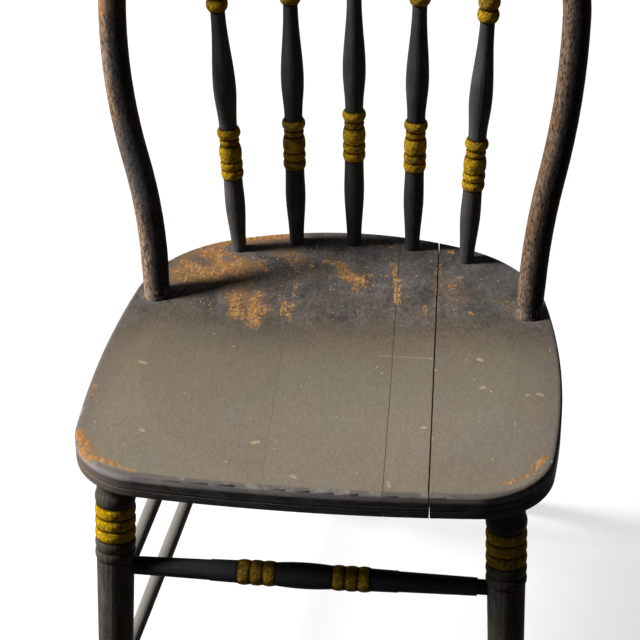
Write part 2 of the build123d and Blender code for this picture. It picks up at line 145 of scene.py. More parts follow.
def noise(tree, place, scale, detail=3.0, roughness=0.5, shift=0.0):
    """Fractal noise, 0 to 1. The shift picks another part of it."""
    place = vector_calc(tree, "ADD", place, (shift, shift * 0.7, shift * 1.3))
    return add(tree, "ShaderNodeTexNoise",
               {"Vector": place, "Scale": scale, "Detail": detail,
                "Roughness": roughness}).outputs["Fac"]


def noise_vector(tree, place, scale, detail):
    """Noise of its own in x, y and z."""
    return add(tree, "ShaderNodeTexNoise",
               {"Vector": place, "Scale": scale, "Detail": detail}).outputs["Color"]


def cell_edges(tree, place, scale):
    """How far a place is from the edge of its cell, in cells."""
    return add(tree, "ShaderNodeTexVoronoi", {"Vector": place, "Scale": scale},
               feature="DISTANCE_TO_EDGE").outputs["Distance"]


def effect(name, inputs, outputs):
    """Empty node group: inputs are (name, kind, value), outputs (name, kind)."""
    group = bpy.data.node_groups.new(name, "ShaderNodeTree")
    for label, kind, value in inputs:
        socket = group.interface.new_socket(label, in_out="INPUT",
                                            socket_type="NodeSocket" + kind)
        if value is not None:
            socket.default_value = value
    for label, kind in outputs:
        group.interface.new_socket(label, in_out="OUTPUT",
                                   socket_type="NodeSocket" + kind)
    given = group.nodes.new("NodeGroupInput")
    result = group.nodes.new("NodeGroupOutput")
    return group, given.outputs, result.inputs


def use(tree, group, **wires):
    """One use of an effect, with values or outputs for its inputs."""
    node = tree.nodes.new("ShaderNodeGroup")
    node.node_tree = group
    for key, value in wires.items():
        put(tree, node.inputs[key], value)
    return node.outputs


# ---- paints

CHARCOAL = srgb(74, 74, 75)
CHARCOAL_DARK = srgb(52, 52, 54)
LILAC_GREY = srgb(118, 110, 112)
BARE_BROWN = srgb(134, 88, 52)
CREAM = srgb(206, 184, 138)
# brown of the painted shade in the grooves
GROOVE_SHADE_BROWN = srgb(34, 27, 18)
# grey of the upper side of the plain rods: partly wear, partly painted light
ROD_WORN_AND_LIT_GREY = srgb(140, 137, 132)
ROD_RUBBED = srgb(150, 140, 132)

MUSTARD_DEEP = srgb(232, 168, 16)
MUSTARD_BRIGHT = srgb(255, 212, 34)
MUSTARD_SMEARED = srgb(250, 196, 40)
MUSTARD_BROWNED = srgb(146, 114, 54)
MUSTARD_FADED = srgb(190, 156, 86)
MUSTARD_CRACK = srgb(62, 46, 22)

SHEEN = 0.006                    # the shader's specular level, on every finish
# Depth of the relief in each finish
TURNED_RELIEF = 0.00055
ROD_RELIEF = 0.0003
DECK_RELIEF = 0.00016
BOW_RELIEF = 0.0009


# ---- effects

def rod_grain():
    """Place on a turned piece: along its axis, its radius, and drawn-out grain."""
    tree, given, result = effect(
        "rod grain",
        [("Place", "Vector", None), ("Start", "Vector", None), ("Direction", "Vector", None),
         ("Fine", "Float", 330.0), ("Long", "Float", 20.0)],
        [("Along", "Float"), ("Radius", "Float"), ("Flow", "Vector")])
    offset = vector_calc(tree, "SUBTRACT", given["Place"], given["Start"])
    along = vector_calc(tree, "DOT_PRODUCT", offset, given["Direction"], "Value")
    on_axis = scaled(tree, given["Direction"], along)
    off_axis = vector_calc(tree, "SUBTRACT", offset, on_axis)
    put(tree, result["Along"], along)
    put(tree, result["Radius"], vector_calc(tree, "LENGTH", off_axis, None, "Value"))
    put(tree, result["Flow"],
        vector_calc(tree, "ADD", scaled(tree, off_axis, given["Fine"]),
                    scaled(tree, on_axis, given["Long"])))
    return tree


def paint_band():
    """Band of paint between two places along a piece, with a hand-drawn edge."""
    tree, given, result = effect(
        "paint band",
        [("Place", "Vector", None), ("Along", "Float", 0.0), ("From", "Float", 0.0),
         ("To", "Float", 0.01), ("Wander", "Float", 0.0016)],
        [("Mask", "Float")])
    soft = 0.0003
    shake = minus(tree, noise(tree, given["Place"], 190.0), 0.5)
    along = calc(tree, "MULTIPLY_ADD", shake, given["Wander"], given["Along"])
    rise, fall = [ease(tree, along, minus(tree, given[end], soft),
                       calc(tree, "ADD", given[end], soft)) for end in ("From", "To")]
    put(tree, result["Mask"], minus(tree, rise, fall, clamp=True))
    return tree


def brushed_paint():
    """Old brushed paint: brush drag along the piece, slow patches, fine grit."""
    tree, given, result = effect(
        "brushed paint",
        [("Flow", "Vector", None), ("Place", "Vector", None)],
        [("Tone", "Float"), ("Height", "Float")])
    drag = noise(tree, given["Flow"], 1.0, 4.0, 0.6)
    cloud = noise(tree, given["Place"], 34.0, 3.0, 0.55, 3.1)
    grit = noise(tree, given["Place"], 640.0, 2.0, 0.6, 7.7)
    tone = calc(tree, "MULTIPLY_ADD", drag, 0.42, times(tree, cloud, 0.36))
    put(tree, result["Tone"], calc(tree, "MULTIPLY_ADD", grit, 0.24, tone))
    put(tree, result["Height"], calc(tree, "MULTIPLY_ADD", grit, 0.8, drag))
    return tree


def worn_through():
    """Ragged places where the paint is gone, for a cover of 0 to 1."""
    tree, given, result = effect(
        "worn through",
        [("Flow", "Vector", None), ("Cover", "Float", 0.5), ("Shift", "Float", 0.0),
         ("Soft", "Float", 0.02)],
        [("Mask", "Float")])
    least_worn, most_worn = 0.68, 0.38
    place = vector_calc(tree, "ADD", given["Flow"],
                        joined(tree, given["Shift"], given["Shift"]))
    broad = noise(tree, place, 1.0, 3.0, 0.6)
    fine = noise(tree, place, 2.4, 2.0, 0.6, 2.3)
    ragged = calc(tree, "MULTIPLY_ADD", fine, 0.5, times(tree, broad, 0.5))
    limit = spread(tree, given["Cover"], least_worn, most_worn)
    over = minus(tree, ragged, limit)
    put(tree, result["Mask"], ease(tree, over, 0.0, given["Soft"]))
    return tree


def flecks():
    """Scattered small spots: a share of the cells has one, of about that size."""
    tree, given, result = effect(
        "flecks",
        [("Place", "Vector", None), ("Scale", "Float", 90.0), ("Share", "Float", 0.2),
         ("Size", "Float", 0.1)],
        [("Mask", "Float")])
    ragged = noise_vector(tree, given["Place"], 520.0, 1.0)
    shake = scaled(tree, vector_calc(tree, "SUBTRACT", ragged, (0.5, 0.5, 0.5)), 0.0016)
    cells = add(tree, "ShaderNodeTexVoronoi",
                {"Vector": vector_calc(tree, "ADD", given["Place"], shake),
                 "Scale": given["Scale"]})
    picked = add(tree, "ShaderNodeSeparateColor", {0: cells.outputs["Color"]}).outputs
    chosen = calc(tree, "LESS_THAN", picked[0], given["Share"])
    size = times(tree, given["Size"], spread(tree, picked[1], 0.35, 1.5))
    inside = fade(tree, cells.outputs["Distance"], times(tree, size, 0.6), size)
    put(tree, result["Mask"], times(tree, inside, chosen))
    return tree


def stippled_yellow():
    """Thick mustard paint on the rings: crazed like leaves, with painted shade darkening it in
    the grooves.
    """
    tree, given, result = effect(
        "stippled yellow",
        [("Place", "Vector", None), ("Radius", "Float", 0.01),
         ("Groove", "Float", 0.0095), ("Ring", "Float", 0.0105), ("Age", "Float", 0.4)],
        [("Color", "Color"), ("Height", "Float")])
    lumps = noise(tree, given["Place"], 620.0, 3.0, 0.65)
    smear = noise(tree, given["Place"], 70.0, 3.0, 0.55, 4.4)
    bent = scaled(tree, noise_vector(tree, given["Place"], 300.0, 2.0), 0.006)
    leaves = vector_calc(tree, "ADD", given["Place"], bent)
    crack = fade(tree, cell_edges(tree, leaves, 250.0), 0.0, 0.095)
    fine = fade(tree, cell_edges(tree, leaves, 620.0), 0.0, 0.15)
    crack = larger(tree, crack, times(tree, fine, 0.42))
    colour = mix(tree, ease(tree, lumps, 0.3, 0.62), MUSTARD_DEEP, MUSTARD_BRIGHT)
    colour = part_mix(tree, ease(tree, smear, 0.46, 0.64), 0.5, colour, MUSTARD_SMEARED)
    limit = spread(tree, given["Age"], 0.40, 0.66)
    aged = ease(tree, smear, limit, minus(tree, limit, 0.14))
    colour = part_mix(tree, aged, 0.68, colour, MUSTARD_BROWNED)
    colour = part_mix(tree, given["Age"], 0.35, colour, MUSTARD_FADED)
    colour = part_mix(tree, crack, 0.68, colour, MUSTARD_CRACK)
    # painted shade: the yellow is tinted darker where the radius drops from the ring towards
    # the groove
    high = ease(tree, given["Radius"], given["Groove"], given["Ring"])
    put(tree, result["Color"], tint(tree, colour, spread(tree, high, 0.72, 1.0)))
    put(tree, result["Height"], minus(tree, lumps, times(tree, crack, 0.7)))
    return tree


def groove_shade():
    """Painted shade: a dark line around a turned piece at one place along it, in a groove."""
    tree, given, result = effect(
        "groove dirt",
        [("Along", "Float", 0.0), ("At", "Float", 0.0), ("Reach", "Float", 0.0017)],
        [("Mask", "Float")])
    away = calc(tree, "ABSOLUTE", minus(tree, given["Along"], given["At"]))
    put(tree, result["Mask"],
        fade(tree, away, times(tree, given["Reach"], 0.15), given["Reach"]))
    return tree


def wear_stroke():
    """Wear rubbed from one point to another. The spot is the place across and along,
    and the wear there so far: 1 on the line, 0 past its reach."""
    tree, given, result = effect(
        "wear stroke",
        [("Spot", "Vector", None), ("From", "Vector", None), ("To", "Vector", None),
         ("Reach", "Float", 0.01), ("Strength", "Float", 1.0)],
        [("Spot", "Vector")])
    place = stretch(tree, given["Spot"], (1.0, 1.0, 0.0))
    run = vector_calc(tree, "SUBTRACT", given["To"], given["From"])
    offset = vector_calc(tree, "SUBTRACT", place, given["From"])
    share = calc(tree, "DIVIDE", vector_calc(tree, "DOT_PRODUCT", offset, run, "Value"),
                 vector_calc(tree, "DOT_PRODUCT", run, run, "Value"), clamp=True)
    away = vector_calc(tree, "DISTANCE", offset, scaled(tree, run, share), "Value")
    cover = fade(tree, calc(tree, "DIVIDE", away, given["Reach"]), 0.15, 1.0)
    cover = times(tree, cover, given["Strength"])
    rubbed = vector_calc(tree, "ADD", place, joined(tree, z=cover))
    put(tree, result["Spot"], vector_calc(tree, "MAXIMUM", given["Spot"], rubbed))
    return tree


def board_joint():
    """Joint between two boards: its line, and the boards right of it."""
    tree, given, result = effect(
        "board joint",
        [("Place", "Vector", None), ("Across", "Float", 0.0), ("Slant", "Float", 0.054),
         ("Width", "Float", 0.0008)],
        [("Line", "Float"), ("Right", "Float")])
    x, y, _ = parts(tree, given["Place"])
    shake = minus(tree, noise(tree, given["Place"], 60.0), 0.5)
    wander = times(tree, shake, 0.0006)
    line_x = minus(tree, given["Across"], times(tree, y, given["Slant"]))
    off = calc(tree, "ADD", minus(tree, x, line_x), wander)
    put(tree, result["Line"],
        fade(tree, calc(tree, "ABSOLUTE", off), times(tree, given["Width"], 0.3),
             given["Width"]))
    put(tree, result["Right"], ease(tree, off, -0.0004, 0.0004))
    return tree


ROD_GRAIN = rod_grain()
PAINT_BAND = paint_band()
BRUSHED_PAINT = brushed_paint()
WORN_THROUGH = worn_through()
FLECKS = flecks()
STIPPLED_YELLOW = stippled_yellow()
GROOVE_SHADE = groove_shade()
WEAR_STROKE = wear_stroke()
BOARD_JOINT = board_joint()


def worn_places(tree, flow, cover, shift=0.0, soft=0.02):
    return use(tree, WORN_THROUGH, Flow=flow, Cover=cover, Shift=shift, Soft=soft)["Mask"]


def flecked(tree, place, scale, share, size):
    return use(tree, FLECKS, Place=place, Scale=scale, Share=share, Size=size)["Mask"]


# ---- finishes

def new_finish(name):
    """Material with its shader, and the place measured from the deck's middle."""
    material = bpy.data.materials.new(name)
    tree = blank_tree(material)
    shader = add(tree, "ShaderNodeBsdfPrincipled", {"Specular IOR Level": SHEEN})
    add(tree, "ShaderNodeOutputMaterial", {"Surface": shader.outputs[0]})
    place = add(tree, "ShaderNodeTexCoord").outputs["Object"]
    place = vector_calc(tree, "SUBTRACT", place, tuple(MIDDLE))
    return material, tree, shader, place


def finish(tree, shader, colour, height, roughness, depth, normal=None):
    """Colour, roughness and relief of a given depth, on the surface or another normal."""
    put(tree, shader.inputs["Base Color"], colour)
    put(tree, shader.inputs["Roughness"], roughness)
    bump = add(tree, "ShaderNodeBump",
               {"Height": height, "Distance": depth, "Normal": normal})
    put(tree, shader.inputs["Normal"], bump.outputs[0])


def grain_along(tree, place, start, end, long=20.0):
    """The grain of a turned piece whose axis runs from start to end."""
    direction = (Vector(end) - Vector(start)).normalized()
    return use(tree, ROD_GRAIN, Place=place, Start=Vector(start), Direction=direction,
               Long=long)


def turned_finish(name, start, end, bands, grooves, radii, dark=CHARCOAL_DARK,
                  light=CHARCOAL, worn=0.25, brown=0.2, age=0.4):
    """Charcoal paint on a turned piece, with yellow bands from one place to another and
    painted shade in its grooves. The radii are those of the grooves and of the rings."""
    material, tree, shader, place = new_finish(name)
    spot = grain_along(tree, place, start, end)
    flow = spot["Flow"]
    paint = use(tree, BRUSHED_PAINT, Flow=flow, Place=place)
    colour = mix(tree, ease(tree, paint["Tone"], 0.38, 0.72), dark, light)
    colour = part_mix(tree, worn_places(tree, flow, worn, 3.0), 0.45, colour, LILAC_GREY)
    colour = part_mix(tree, worn_places(tree, flow, brown, 6.0), 0.6, colour, BARE_BROWN)
    spots = flecked(tree, place, 110.0, 0.035, 0.07)
    colour = part_mix(tree, spots, 0.6, colour, CREAM)
    yellow = use(tree, STIPPLED_YELLOW, Place=place, Radius=spot["Radius"],
                 Groove=radii[0], Ring=radii[1], Age=age)
    mask = 0.0
    for low, high in bands:
        band = use(tree, PAINT_BAND, Place=place, Along=spot["Along"], From=low, To=high)
        mask = larger(tree, mask, band["Mask"])
    colour = mix(tree, mask, colour, yellow["Color"])
    shade = 0.0
    # painted shade: a dark line at each groove
    for groove in grooves:
        line = use(tree, GROOVE_SHADE, Along=spot["Along"], At=groove)["Mask"]
        shade = larger(tree, shade, line)
    colour = part_mix(tree, shade, 0.8, colour, GROOVE_SHADE_BROWN)
    lump = times(tree, yellow["Height"], 2.4)
    height = mix_values(tree, mask, paint["Height"], lump)
    finish(tree, shader, colour, height, spread(tree, paint["Tone"], 0.62, 0.45),
           TURNED_RELIEF)
    return material


def plain_finish(name, start, end, worn, light):
    """Paint on a plain turned rod, paler on its upper side: partly rubbed by shoes and hands,
    partly painted light.
    """
    material, tree, shader, place = new_finish(name)
    flow = grain_along(tree, place, start, end, long=16.0)["Flow"]
    paint = use(tree, BRUSHED_PAINT, Flow=flow, Place=place)
    colour = mix(tree, ease(tree, paint["Tone"], 0.35, 0.66), CHARCOAL_DARK, CHARCOAL)
    # upward-facing side paler: partly wear, partly painted light where the lamp catches it
    up = parts(tree, surface_normal(tree))[2]
    worn_and_lit_top = times(tree, ease(tree, up, -0.5, 0.35), worn)
    bare = worn_places(tree, flow, calc(tree, "MULTIPLY_ADD", worn_and_lit_top, 0.5, 0.12), soft=0.08)
    colour = part_mix(tree, worn_and_lit_top, 0.8, colour, light)
    colour = part_mix(tree, bare, 0.45, colour, ROD_RUBBED)
    finish(tree, shader, colour, paint["Height"], spread(tree, paint["Tone"], 0.62, 0.48),
           ROD_RELIEF)
    return material


# ---- the seat

# Paint worn through on the deck: (from, to, reach, strength), places as (x, y)
DECK_WEAR = (
    # left rear, behind the bow's foot and towards the rear edge
    ((-0.160, 0.118), (-0.150, 0.104), 0.018, 0.56),
    ((-0.152, 0.132), (-0.128, 0.112), 0.026, 0.62),
    ((-0.136, 0.160), (-0.112, 0.128), 0.034, 0.64),
    ((-0.128, 0.178), (-0.098, 0.190), 0.021, 0.69),
    ((-0.098, 0.188), (-0.064, 0.197), 0.018, 0.73),
    ((-0.112, 0.150), (-0.104, 0.120), 0.018, 0.61),
    # stipple between the outer and inner left spindles
    ((-0.086, 0.146), (-0.080, 0.126), 0.018, 0.50),
    ((-0.092, 0.128), (-0.088, 0.106), 0.016, 0.39),
    ((-0.058, 0.160), (-0.052, 0.140), 0.016, 0.53),
    ((-0.060, 0.136), (-0.057, 0.104), 0.013, 0.39),
    ((-0.075, 0.118), (-0.062, 0.082), 0.021, 0.33),
    ((-0.037, 0.148), (-0.036, 0.118), 0.008, 0.48),
    # two lobes, left of the middle
    ((-0.104, 0.082), (-0.080, 0.086), 0.014, 0.58),
    ((-0.102, 0.078), (-0.094, 0.050), 0.016, 0.74),
    ((-0.094, 0.066), (-0.084, 0.070), 0.011, 0.42),
    ((-0.082, 0.074), (-0.077, 0.038), 0.014, 0.77),
    ((-0.070, 0.066), (-0.074, 0.050), 0.010, 0.61),
    ((-0.133, 0.072), (-0.124, 0.066), 0.013, 0.39),
    ((-0.118, 0.084), (-0.112, 0.080), 0.010, 0.36),
    # middle
    ((-0.022, 0.150), (-0.004, 0.140), 0.010, 0.69),
    ((-0.008, 0.140), (0.000, 0.124), 0.012, 0.77),
    ((-0.002, 0.126), (0.014, 0.118), 0.013, 0.77),
    ((0.008, 0.118), (0.012, 0.102), 0.010, 0.56),
    ((0.014, 0.124), (0.024, 0.130), 0.008, 0.56),
    ((0.012, 0.116), (0.020, 0.106), 0.007, 0.52),
    ((-0.016, 0.128), (-0.014, 0.114), 0.009, 0.33),
    # along the joints
    ((-0.050, 0.150), (-0.046, 0.086), 0.008, 0.48),
    ((-0.053, 0.074), (-0.052, 0.056), 0.007, 0.64),
    ((-0.047, 0.076), (-0.046, 0.048), 0.007, 0.62),
    ((0.042, 0.150), (0.046, 0.124), 0.007, 0.64),
    ((0.047, 0.122), (0.051, 0.086), 0.008, 0.71),
    ((0.086, 0.152), (0.085, 0.136), 0.007, 0.56),
    ((0.087, 0.118), (0.089, 0.072), 0.007, 0.39),
    ((0.078, 0.080), (0.079, 0.068), 0.008, 0.53),
    # right
    ((0.107, 0.132), (0.100, 0.112), 0.009, 0.50),
    ((0.103, 0.106), (0.106, 0.078), 0.009, 0.37),
    ((0.064, 0.140), (0.062, 0.128), 0.012, 0.31),
    ((0.120, 0.073), (0.121, 0.071), 0.004, 0.74),
    # rear edge, between the spindles
    ((0.088, 0.184), (0.096, 0.176), 0.007, 0.69),
    ((0.024, 0.184), (0.037, 0.181), 0.008, 0.48),
    ((-0.035, 0.178), (-0.034, 0.166), 0.008, 0.41),
    ((0.155, 0.092), (0.163, 0.080), 0.010, 0.41),
    # front corners and the left edge
    ((-0.2005, -0.146), (-0.187, -0.174), 0.008, 0.86),
    ((-0.184, -0.180), (-0.160, -0.189), 0.006, 0.84),
    ((-0.160, -0.190), (-0.140, -0.197), 0.004, 0.70),
    ((-0.200, -0.078), (-0.201, -0.092), 0.005, 0.60),
    ((0.188, -0.160), (0.196, -0.142), 0.006, 0.84),
    ((0.166, -0.182), (0.186, -0.166), 0.006, 0.66),
)
# Brown stain where the paint is thin: (from, to, reach, strength)
DECK_STAIN = (
    ((-0.160, 0.112), (-0.130, 0.116), 0.030, 0.9),
    ((-0.146, 0.140), (-0.108, 0.136), 0.034, 1.0),
    ((-0.126, 0.176), (-0.072, 0.196), 0.024, 1.0),
    ((-0.070, 0.165), (-0.048, 0.150), 0.018, 0.45),
    ((-0.100, 0.100), (-0.080, 0.060), 0.026, 0.40),
    ((0.000, 0.130), (0.012, 0.118), 0.018, 0.35),
    ((0.092, 0.120), (0.108, 0.096), 0.022, 0.25),
    ((0.146, 0.096), (0.163, 0.082), 0.016, 0.16),
    ((-0.198, -0.150), (-0.180, -0.180), 0.012, 0.7),
)
# Places rubbed grey within the stain
DECK_GREY = (
    ((-0.150, 0.141), (-0.138, 0.134), 0.010, 0.7),
    ((-0.112, 0.164), (-0.096, 0.156), 0.016, 0.9),
    ((-0.120, 0.146), (-0.114, 0.142), 0.007, 0.6),
)
# Single flecks of bare wood, in the same form
DECK_FLECKS = (
    ((0.1325, -0.001), (0.1345, -0.003), 0.0030, 1.0),
    ((0.1375, -0.045), (0.1390, -0.045), 0.0030, 0.9),
    ((0.177, -0.055), (0.179, -0.054), 0.0020, 0.8),
    ((0.187, -0.052), (0.190, -0.053), 0.0030, 0.8),
    ((-0.168, -0.038), (-0.163, -0.039), 0.0028, 0.8),
    ((-0.147, -0.139), (-0.145, -0.140), 0.0030, 0.8),
    ((-0.050, -0.145), (-0.046, -0.143), 0.0034, 0.9),
    ((-0.011, -0.189), (-0.008, -0.191), 0.0028, 0.8),
    ((0.069, -0.190), (0.071, -0.196), 0.0022, 0.8),
    ((0.091, -0.108), (0.0925, -0.108), 0.0030, 0.9),
)
# One scratch across the narrow board, in the same form
DECK_SCRATCH = (((0.044, 0.0), (0.092, -0.002), 0.0022, 0.4),)
# Joints between the boards, across at y = 0: place, width, depth of the line
JOINTS = ((-0.0455, 0.0005, 0.20), (0.0550, 0.0006, 0.40), (0.0925, 0.0010, 0.95))
# Feet on the deck: (x, y, radius)
FEET = ((-0.1746, 0.0736, 0.0118), (0.1746, 0.0736, 0.0118), (-0.1095, 0.1627, 0.0069),
        (-0.0557, 0.1813, 0.0069), (0.0, 0.1847, 0.0069), (0.0567, 0.1813, 0.0069),
        (0.1104, 0.1627, 0.0069))
# The sitter's worn area fades out along this line: (x, y)
WORN_EDGE = ((-0.21, -0.012), (-0.185, 0.010), (-0.150, 0.030), (-0.100, 0.024),
             (-0.050, 0.020), (0.0, 0.024), (0.060, 0.028), (0.120, 0.036),
             (0.170, 0.030), (0.21, 0.010))
# Paint from the front edge to the rear: (distance behind the line, colour)
DECK_PAINT = ((-0.200, (134, 125, 112)), (-0.130, (134, 125, 112)), (-0.070, (128, 119, 105)),
              (-0.035, (122, 113, 99)), (-0.010, (112, 103, 90)), (0.012, (99, 91, 81)),
              (0.040, (92, 86, 81)), (0.080, (88, 84, 81)), (0.120, (90, 87, 85)),
              (0.170, (98, 95, 93)))
DECK_SIDE = 0.21                 # the line of the worn area runs this far to each side
ROUNDED_DROP = 0.0100            # how far down the edge it is worn round
BEAD_DROP = 0.0146               # how far down the edge its scored line lies

WARM_WHITE = srgb(255, 250, 244)
COOL_WHITE = srgb(251, 252, 250)
DECK_MOTTLE = srgb(108, 96, 80)
DECK_LILAC = srgb(116, 107, 105)
DECK_SLATE = srgb(52, 54, 58)
DECK_SHEEN_GREY = srgb(88, 88, 86)
DECK_RIM = srgb(112, 103, 98)
STAIN_BROWN = srgb(150, 110, 66)
WOOD_DEEP = srgb(150, 106, 62)
WOOD_ORANGE = srgb(190, 138, 80)
WOOD_PALE = srgb(214, 176, 122)
FOOT_GREY = srgb(118, 110, 106)
RUST = srgb(140, 96, 62)
DARK_SPOT = srgb(52, 46, 42)
SCRATCH_GREY = srgb(158, 150, 140)
JOINT_DIRT = srgb(30, 26, 24)

EDGE_SHADED_BROWN_GREY = srgb(112, 105, 99)
EDGE_GREY = srgb(142, 136, 134)
EDGE_PALE = srgb(168, 158, 152)
EDGE_CHIP = srgb(206, 196, 186)
EDGE_WOOD = srgb(176, 122, 68)
SIDE_DARK = srgb(62, 62, 64)
SIDE_LIGHT = srgb(88, 86, 85)
SIDE_WORN_AND_LIT = srgb(118, 106, 97)
SIDE_CHIP = srgb(122, 112, 106)
SIDE_LINE = srgb(112, 98, 88)
RAW_DEEP = srgb(74, 52, 36)
RAW_WOOD = srgb(120, 88, 60)
RAW_GREY = srgb(60, 54, 50)


def line_through(tree, value, points, low, high):
    """Smooth curve through (x, y) points; x runs from low to high."""
    curve = add(tree, "ShaderNodeFloatCurve",
                {1: calc(tree, "DIVIDE", minus(tree, value, low), high - low)})
    line = curve.mapping.curves[0]
    bottom = min(y for _, y in points)
    top = max(y for _, y in points)
    places = [((x - low) / (high - low), (y - bottom) / (top - bottom)) for x, y in points]
    line.points[0].location = places[0]
    line.points[1].location = places[-1]
    for spot in places[1:-1]:
        line.points.new(*spot)
    curve.mapping.update()
    return spread(tree, curve.outputs[0], bottom, top)


def strokes(tree, flat, table):
    """Wear of a whole table of strokes, passed on from one to the next."""
    spot = flat
    for first, last, reach, strength in table:
        spot = use(tree, WEAR_STROKE, Spot=spot, From=(*first, 0.0), To=(*last, 0.0),
                   Reach=reach, Strength=strength)["Spot"]
    return parts(tree, spot)[2]


def paint_ramp(tree, value, stops):
    """Colours along a value, from (value, (red, green, blue)) stops."""
    low, high = stops[0][0], stops[-1][0]
    ramp = add(tree, "ShaderNodeValToRGB",
               {0: calc(tree, "DIVIDE", minus(tree, value, low), high - low)})
    line = ramp.color_ramp
    line.elements[0].color = srgb(*stops[0][1])
    line.elements[1].color = srgb(*stops[-1][1])
    for spot, colour in stops[1:-1]:
        line.elements.new((spot - low) / (high - low)).color = srgb(*colour)
    return ramp.outputs[0]


def whole_paint(tree, x, y, flat):
    """Colour of the whole paint: the sitter's taupe in front, slate behind, and a painted
    sheen at the right rear.
    """
    edge = line_through(tree, x, WORN_EDGE, -DECK_SIDE, DECK_SIDE)
    shake = times(tree, minus(tree, noise(tree, flat, 26.0), 0.5), 0.030)
    behind = calc(tree, "ADD", minus(tree, y, edge), shake)
    deck = paint_ramp(tree, behind, DECK_PAINT)
    cloud = ease(tree, noise(tree, flat, 9.0, 3.0, 0.55), 0.36, 0.64)
    deck = tint(tree, deck, mix(tree, cloud, WARM_WHITE, COOL_WHITE))
    mottle = noise(tree, stretch(tree, flat, (70.0, 34.0, 1.0)), 1.0, 5.0, 0.65, 5.0)
    deck = part_mix(tree, ease(tree, mottle, 0.52, 0.74), 0.16, deck, DECK_MOTTLE)
    back = ease(tree, behind, 0.0, 0.04)
    lilac = noise(tree, stretch(tree, flat, (1.0, 0.7, 1.0)), 46.0, 5.0, 0.68, 9.0)
    pale = times(tree, ease(tree, lilac, 0.50, 0.62), back)
    deck = part_mix(tree, pale, 0.5, deck, DECK_LILAC)
    dark = times(tree, ease(tree, lilac, 0.49, 0.38), back)
    deck = part_mix(tree, dark, 0.55, deck, DECK_SLATE)
    # painted sheen: a cool grey over the right rear of the deck, standing in for reflected
    # light
    painted_sheen = ease(tree, calc(tree, "MULTIPLY_ADD", y, 0.5, x), 0.14, 0.24)
    deck = part_mix(tree, times(tree, painted_sheen, back), 0.55, deck, DECK_SHEEN_GREY)
    rim = ease(tree, calc(tree, "ABSOLUTE", x), 0.178, 0.203)
    rim = times(tree, rim, ease(tree, y, 0.12, 0.02))
    return part_mix(tree, rim, 0.45, deck, DECK_RIM)


def board_tones(tree, flat, deck):
    """Each board a little lighter or darker, and the lines of the joints between them."""
    lines, across = 0.0, None
    for place, width, depth in JOINTS:
        joint = use(tree, BOARD_JOINT, Place=flat, Across=place, Width=width)
        lines = larger(tree, lines, times(tree, joint["Line"], depth))
        right = joint["Right"]
        across = right if across is None else calc(tree, "ADD", across, right)
    board = calc(tree, "FRACT", calc(tree, "MULTIPLY_ADD", across, 0.37, 0.2))
    return tint(tree, deck, spread(tree, board, 0.965, 1.035)), lines


def stained(tree, flat, ragged, deck, grey):
    """Brown stain where the paint is thin, less where it is rubbed grey."""
    stain = minus(tree, strokes(tree, flat, DECK_STAIN), grey, clamp=True)
    film = noise(tree, stretch(tree, flat, (190.0, 70.0, 1.0)), 1.0, 5.0, 0.7, 3.0)
    film = times(tree, stain, ease(tree, film, 0.14, 0.50))
    speck = worn_places(tree, ragged, 0.62, 21.0, 0.06)
    film = times(tree, film, spread(tree, speck, 0.60, 1.0))
    return part_mix(tree, film, 0.86, deck, STAIN_BROWN)


def bare_wood(tree, x, y, flat, ragged, grey):
    """Mask of the places worn through to the wood, solid or as strewn flecks."""
    cover = strokes(tree, flat, DECK_WEAR)
    cover = minus(tree, cover, times(tree, grey, 0.5), clamp=True)
    thin = times(tree, ease(tree, y, 0.03, 0.08), ease(tree, x, 0.15, 0.05))
    cover = larger(tree, cover, times(tree, thin, 0.20))
    strewn = flecked(tree, stretch(tree, flat, (1.0, 0.65, 1.0)), 300.0,
                     times(tree, cover, 0.62), 0.24)
    return larger(tree, worn_places(tree, ragged, cover), strewn)


def deck_wood(tree, x, flat, flow):
    """Colour of the wood that shows through, with pale grains to the right."""
    grain = ease(tree, noise(tree, flow, 1.3, 3.0, 0.6, 2.0), 0.35, 0.7)
    wood = mix(tree, grain, WOOD_DEEP, WOOD_ORANGE)
    pale = noise(tree, stretch(tree, flat, (260.0, 150.0, 1.0)), 1.0, 2.0, 0.5, 6.0)
    to_right = spread(tree, ease(tree, x, -0.09, -0.02), 0.45, 1.0)
    pale = times(tree, ease(tree, pale, 0.46, 0.66), to_right)
    return part_mix(tree, pale, 0.8, wood, WOOD_PALE)


def deck_marks(tree, flat, deck):
    """Pale rings round the feet, then specks, rust, dark spots and one scratch."""
    for foot_x, foot_y, foot in FEET:
        away = vector_calc(tree, "DISTANCE", flat, (foot_x, foot_y, 0.0), "Value")
        ring = fade(tree, away, foot + 0.0005, foot + 0.0060)
        deck = part_mix(tree, ring, 0.42, deck, FOOT_GREY)
    specks = flecked(tree, flat, 62.0, 0.20, 0.05)
    fine = flecked(tree, stretch(tree, flat, (1.0, 0.6, 1.0)), 190.0, 0.13, 0.13)
    specks = larger(tree, specks, times(tree, fine, 0.7))
    chip = noise(tree, flat, 700.0, 2.0, 0.6, 3.0)
    single = times(tree, strokes(tree, flat, DECK_FLECKS), ease(tree, chip, 0.42, 0.52))
    deck = part_mix(tree, larger(tree, specks, single), 0.9, deck, CREAM)
    rust = flecked(tree, vector_calc(tree, "ADD", flat, (7.0, 2.0, 0.0)), 75.0, 0.09, 0.10)
    deck = part_mix(tree, rust, 0.5, deck, RUST)
    spots = flecked(tree, vector_calc(tree, "ADD", flat, (3.0, 1.0, 0.0)), 52.0, 0.05, 0.05)
    deck = part_mix(tree, spots, 0.75, deck, DARK_SPOT)
    scratch = times(tree, strokes(tree, flat, DECK_SCRATCH), ease(tree, chip, 0.36, 0.52))
    return mix(tree, scratch, deck, SCRATCH_GREY)


